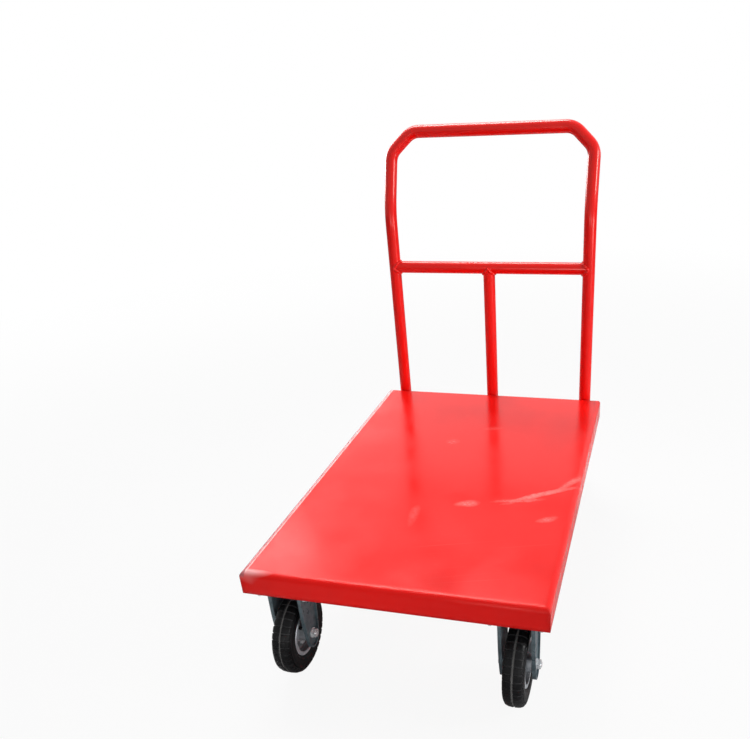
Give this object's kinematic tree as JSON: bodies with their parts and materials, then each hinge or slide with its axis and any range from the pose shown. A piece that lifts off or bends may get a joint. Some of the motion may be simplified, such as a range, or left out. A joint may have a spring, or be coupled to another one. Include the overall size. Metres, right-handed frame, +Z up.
{
  "type": "platform hand cart",
  "caption": "Flat steel platform cart with a tall tube push handle, fixed casters at the front and swivelling casters under the handle end.",
  "frame": {"origin": "on the floor, under the centre of the whole cart", "axes": "+Z up, +Y towards the handle, +X to the right of someone who stands at the front and looks at the handle"},
  "size_m": [0.66, 1.131, 1.0528],
  "materials": {
    "red_paint": "gloss enamel",
    "zinc_steel": "dark zinc plate",
    "bright_steel": "bright zinc",
    "rim_steel": "satin zinc",
    "rubber": "matt rubber"
  },
  "bodies": {
    "chassis": {"deck_tray": "red_paint", "front_caster_beam": "red_paint", "rear_caster_beam": "red_paint", "middle_cross_member": "red_paint", "left_side_rail": "red_paint", "right_side_rail": "red_paint", "handle_loop": "red_paint", "handle_crossbar": "red_paint", "handle_centre_post": "red_paint", "front_left_caster_bracket": "zinc_steel", "front_left_axle_bolt": "bright_steel", "rear_left_caster_plate": "zinc_steel", "rear_left_kingpin": "bright_steel", "front_right_caster_bracket": "zinc_steel", "front_right_axle_bolt": "bright_steel", "rear_right_caster_plate": "zinc_steel", "rear_right_kingpin": "bright_steel"},
    "rear_left_swivel": {"rear_left_fork": "zinc_steel", "rear_left_ball_race": "bright_steel", "rear_left_axle_bolt": "bright_steel"},
    "rear_right_swivel": {"rear_right_fork": "zinc_steel", "rear_right_ball_race": "bright_steel", "rear_right_axle_bolt": "bright_steel"},
    "front_left_wheel": {"front_left_tyre": "rubber", "front_left_rim": "rim_steel", "front_left_hub": "rim_steel"},
    "front_right_wheel": {"front_right_tyre": "rubber", "front_right_rim": "rim_steel", "front_right_hub": "rim_steel"},
    "rear_left_wheel": {"rear_left_tyre": "rubber", "rear_left_rim": "rim_steel", "rear_left_hub": "rim_steel"},
    "rear_right_wheel": {"rear_right_tyre": "rubber", "rear_right_rim": "rim_steel", "rear_right_hub": "rim_steel"}
  },
  "joints": [
    {"name": "rear_left_swivel_turn", "type": "hinge", "parent": "chassis", "child": "rear_left_swivel", "pos_m": [-0.256, 0.39148, 0.2285], "axis": [0, 0, 1], "continuous": true},
    {"name": "rear_right_swivel_turn", "type": "hinge", "parent": "chassis", "child": "rear_right_swivel", "pos_m": [0.256, 0.39148, 0.2285], "axis": [0, 0, 1], "continuous": true},
    {"name": "front_left_wheel_spin", "type": "hinge", "parent": "chassis", "child": "front_left_wheel", "pos_m": [-0.256, -0.47052, 0.095], "axis": [1, 0, 0], "continuous": true},
    {"name": "front_right_wheel_spin", "type": "hinge", "parent": "chassis", "child": "front_right_wheel", "pos_m": [0.256, -0.47052, 0.095], "axis": [1, 0, 0], "continuous": true},
    {"name": "rear_left_wheel_spin", "type": "hinge", "parent": "rear_left_swivel", "child": "rear_left_wheel", "pos_m": [-0.256, 0.43648, 0.095], "axis": [1, 0, 0], "continuous": true},
    {"name": "rear_right_wheel_spin", "type": "hinge", "parent": "rear_right_swivel", "child": "rear_right_wheel", "pos_m": [0.256, 0.43648, 0.095], "axis": [1, 0, 0], "continuous": true}
  ]
}
